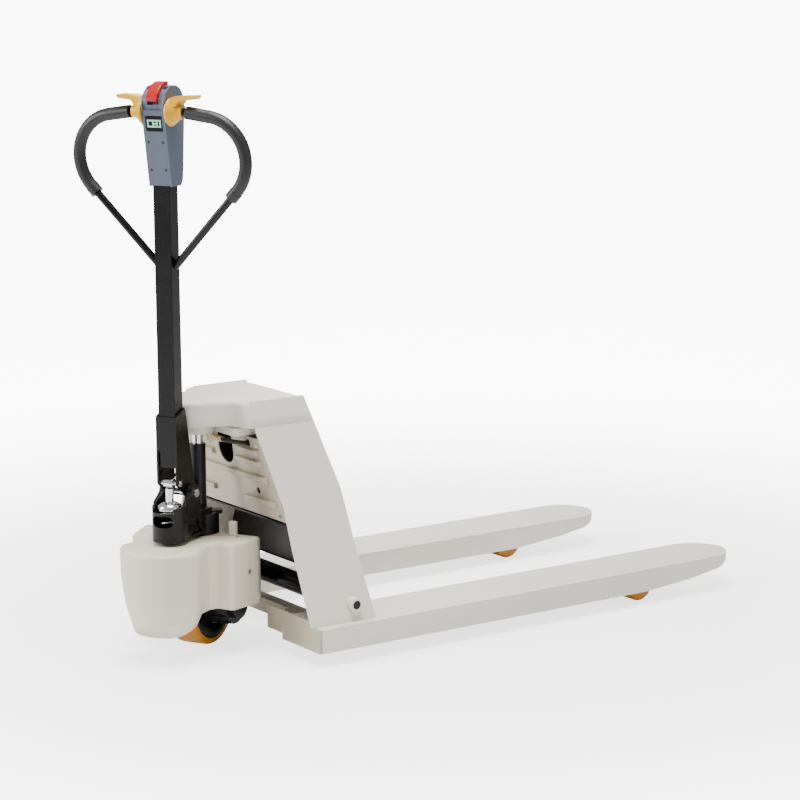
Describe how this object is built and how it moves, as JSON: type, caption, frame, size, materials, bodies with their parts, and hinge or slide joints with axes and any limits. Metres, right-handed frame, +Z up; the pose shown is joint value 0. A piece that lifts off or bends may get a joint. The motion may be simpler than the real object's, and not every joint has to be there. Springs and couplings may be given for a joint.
{
  "type": "electric pallet truck",
  "caption": "Pedestrian pallet truck with lifting forks, steered drive wheel unit, hand pump and tiller with looped grips.",
  "frame": {"origin": "centre of the overall box at floor level", "axes": "+Z up, +Y along the forks towards their tips, +X to the side, with the tiller at -Y"},
  "size_m": [0.685, 1.5569, 1.278],
  "materials": {
    "cream_paint": "semi-gloss powder coat",
    "shaded_cream_paint": "semi-gloss powder coat",
    "cream_plastic": "satin moulded ABS",
    "black_casting": "satin black paint",
    "black_steel": "satin black paint",
    "chrome": "polished",
    "bright_steel": "zinc plated",
    "grip_rubber": "fine matte",
    "grey_plastic": "satin",
    "screen": "glossy",
    "dark_screw": "blackened",
    "red_plastic": "glossy",
    "dark_button": "satin",
    "yellow_plastic": "glossy",
    "tyre_urethane": "satin polyurethane",
    "brass": "machined",
    "cable_rubber": "satin",
    "battery_case": "textured"
  },
  "bodies": {
    "seat": {"bearing_seat": "black_casting", "thrust_bearing": "bright_steel"},
    "drive_unit": {"pump_casting": "black_casting", "lift_cylinder": "black_steel", "steer_spigot": "bright_steel", "wheel_yoke": "black_casting", "drive_motor": "black_casting", "wheel_axle": "bright_steel", "drive_cover": "cream_plastic", "cover_lugs": "cream_plastic", "cover_screws": "bright_steel", "pivot_pin": "bright_steel"},
    "drive_wheel": {"wheel_hub": "black_steel", "drive_tyre": "tyre_urethane", "wheel_bearings": "bright_steel"},
    "pump_piston": {"pump_piston": "chrome", "spring_cap": "chrome", "pump_spring": "bright_steel"},
    "tiller": {"tiller_socket": "black_steel", "mast_tube": "black_steel", "roller_pin": "bright_steel", "handle_bars": "black_steel", "left_grip": "grip_rubber", "right_grip": "grip_rubber", "head_shell": "grey_plastic", "head_faceplate": "grey_plastic", "display": "screen", "head_screws": "dark_screw"},
    "tip_roller": {"pump_roller": "chrome"},
    "belly_button": {"belly_button": "red_plastic"},
    "horn_button": {"horn_button": "dark_button"},
    "speed_button": {"speed_button": "dark_button"},
    "throttle": {"throttle_shaft": "bright_steel", "throttle_wings": "yellow_plastic"},
    "frame": {"left_fork": "cream_paint", "right_fork": "cream_paint", "left_side_plate": "cream_paint", "right_side_plate": "cream_paint", "head_cover": "cream_paint", "head_block": "cream_paint", "lift_ram": "chrome", "front_panel": "shaded_cream_paint", "panel_screws": "bright_steel", "heel_member": "cream_paint", "rear_brace": "black_steel", "shaft_bosses": "cream_paint", "crank_shaft": "black_steel", "battery_pack": "battery_case", "battery_tray": "black_steel", "cable_gland": "brass", "battery_cable": "cable_rubber", "bracket_pins": "bright_steel"},
    "crank": {"crank": "black_steel", "lever_pins": "bright_steel"},
    "push_rods": {"push_rods": "black_steel"},
    "roller_brackets": {"roller_brackets": "cream_paint", "roller_axles": "bright_steel"},
    "left_load_roller": {"left_load_roller": "tyre_urethane"},
    "right_load_roller": {"right_load_roller": "tyre_urethane"}
  },
  "joints": [
    {"name": "steer", "type": "hinge", "parent": "seat", "child": "drive_unit", "pos_m": [0, -0.54835, 0.2], "axis": [0, 0, 1], "range_deg": [-105, 45]},
    {"name": "drive_wheel_spin", "type": "hinge", "parent": "drive_unit", "child": "drive_wheel", "pos_m": [0, -0.54835, 0.1], "axis": [0.866, 0.5, 0], "continuous": true},
    {"name": "tiller_tilt", "type": "hinge", "parent": "drive_unit", "child": "tiller", "pos_m": [0.0425, -0.62196, 0.368], "axis": [0.866, 0.5, 0], "range_deg": [0, 70], "stiffness_Nm_per_rad": 60, "springref_deg": -51.57},
    {"name": "piston_slide", "type": "slide", "parent": "drive_unit", "child": "pump_piston", "axis": [0, 0, -1], "range_m": [0, 0.05749], "deforming": ["pump_spring"]},
    {"name": "tip_roller_spin", "type": "hinge", "parent": "tiller", "child": "tip_roller", "pos_m": [0.063, -0.65747, 0.395], "axis": [0.866, 0.5, 0], "continuous": true},
    {"name": "belly_button_press", "type": "slide", "parent": "tiller", "child": "belly_button", "axis": [-0.383, 0.6634, -0.6428], "range_m": [0, 0.006], "stiffness_N_per_m": 800},
    {"name": "horn_button_press", "type": "slide", "parent": "tiller", "child": "horn_button", "axis": [-0.2347, 0.4066, -0.8829], "range_m": [0, 0.0025], "stiffness_N_per_m": 500},
    {"name": "speed_button_press", "type": "slide", "parent": "tiller", "child": "speed_button", "axis": [-0.2347, 0.4066, -0.8829], "range_m": [0, 0.0025], "stiffness_N_per_m": 500},
    {"name": "throttle_turn", "type": "hinge", "parent": "tiller", "child": "throttle", "pos_m": [0.06781, -0.6658, 1.21361], "axis": [0.866, 0.5, 0], "range_deg": [-25, 25], "stiffness_Nm_per_rad": 1},
    {"name": "lift", "type": "slide", "parent": "seat", "child": "frame", "axis": [0, 0, 1], "range_m": [0, 0.115]},
    {"name": "crank_swing", "type": "hinge", "parent": "frame", "child": "crank", "pos_m": [0, -0.33435, 0.121], "axis": [1, 0, 0], "range_deg": [0, 28.76]},
    {"name": "rod_level", "type": "hinge", "parent": "crank", "child": "push_rods", "pos_m": [0, -0.34892, 0.06416], "axis": [-1, 0, 0], "range_deg": [0, 28.76]},
    {"name": "bracket_swing", "type": "hinge", "parent": "frame", "child": "roller_brackets", "pos_m": [0, 0.35865, 0.04], "axis": [-1, 0, 0], "range_deg": [0, 62.21]},
    {"name": "left_roller_spin", "type": "hinge", "parent": "roller_brackets", "child": "left_load_roller", "pos_m": [-0.2635, 0.48865, 0.04], "axis": [1, 0, 0], "continuous": true},
    {"name": "right_roller_spin", "type": "hinge", "parent": "roller_brackets", "child": "right_load_roller", "pos_m": [0.2635, 0.48865, 0.04], "axis": [1, 0, 0], "continuous": true}
  ],
  "couplings": [
    {"joint": "piston_slide", "follows": "tiller_tilt", "m_per_rad": 0.046895},
    {"joint": "crank_swing", "follows": "lift", "rad_per_m": 4.3646},
    {"joint": "rod_level", "follows": "lift", "rad_per_m": 4.3646},
    {"joint": "bracket_swing", "follows": "lift", "rad_per_m": 9.4406}
  ]
}
